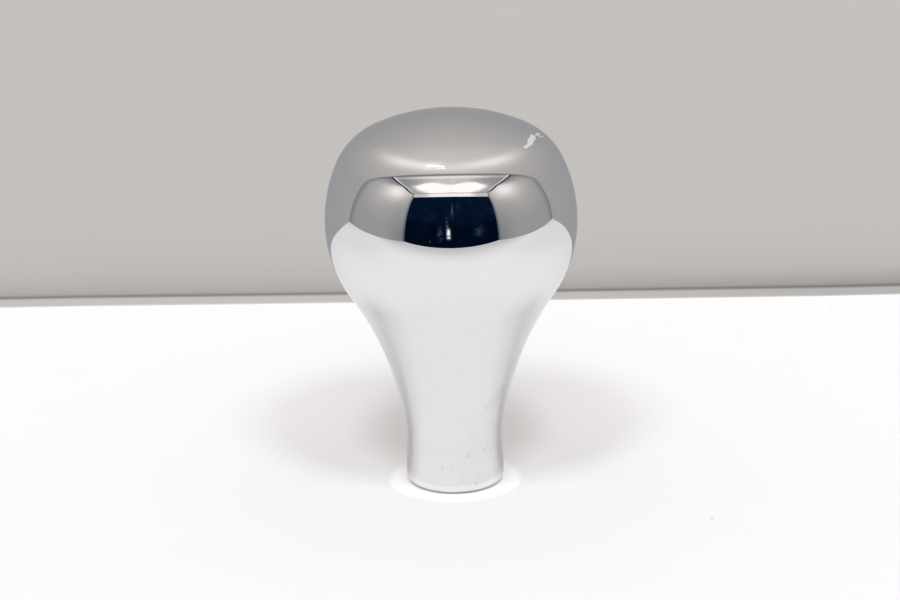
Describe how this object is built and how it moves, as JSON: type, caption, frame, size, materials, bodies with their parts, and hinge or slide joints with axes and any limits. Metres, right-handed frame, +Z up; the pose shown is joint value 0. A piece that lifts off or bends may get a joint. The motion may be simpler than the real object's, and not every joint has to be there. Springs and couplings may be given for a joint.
{
  "type": "gear shift knob",
  "caption": "Polished chrome gear shift knob: a broad rounded bulb that tapers through a hollow waist to a straight neck, with a blind threaded hole for the lever in its base.",
  "frame": {"origin": "centre of the flat base at the neck end, where the knob stands and the lever enters", "axes": "+Z up the knob's axis of revolution, from the base to the crown; X and Y are alike"},
  "size_m": [0.052, 0.052, 0.0795],
  "materials": {
    "knob_body": "mirror polished chrome plate"
  },
  "bodies": {
    "root": {"knob_body": "knob_body"}
  },
  "joints": []
}
